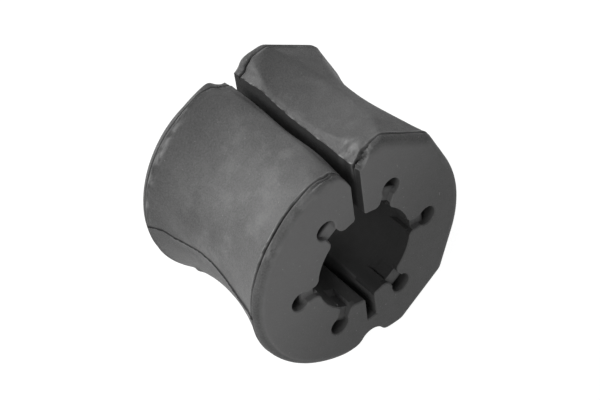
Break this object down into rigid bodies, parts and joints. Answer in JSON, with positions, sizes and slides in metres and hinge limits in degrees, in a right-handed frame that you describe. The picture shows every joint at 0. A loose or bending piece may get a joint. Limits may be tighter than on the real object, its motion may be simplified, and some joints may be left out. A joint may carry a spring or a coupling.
{
  "type": "sway bar bushing",
  "caption": "Split rubber bushing for a sway bar: waisted body between two rounded end rims, one slit open to the outside, keyhole pockets round the bore.",
  "frame": {"origin": "on the bore axis, half way along the bushing", "axes": "+Y along the bore from the pictured face to the far face, +Z to the slit that is open to the outside, +X to the side with slanted flats"},
  "size_m": [0.0444, 0.034, 0.0453],
  "materials": {
    "rubber": "matte moulded, slightly greyed, rim edges a little worn"
  },
  "bodies": {
    "root": {"bushing": "rubber"}
  },
  "joints": []
}
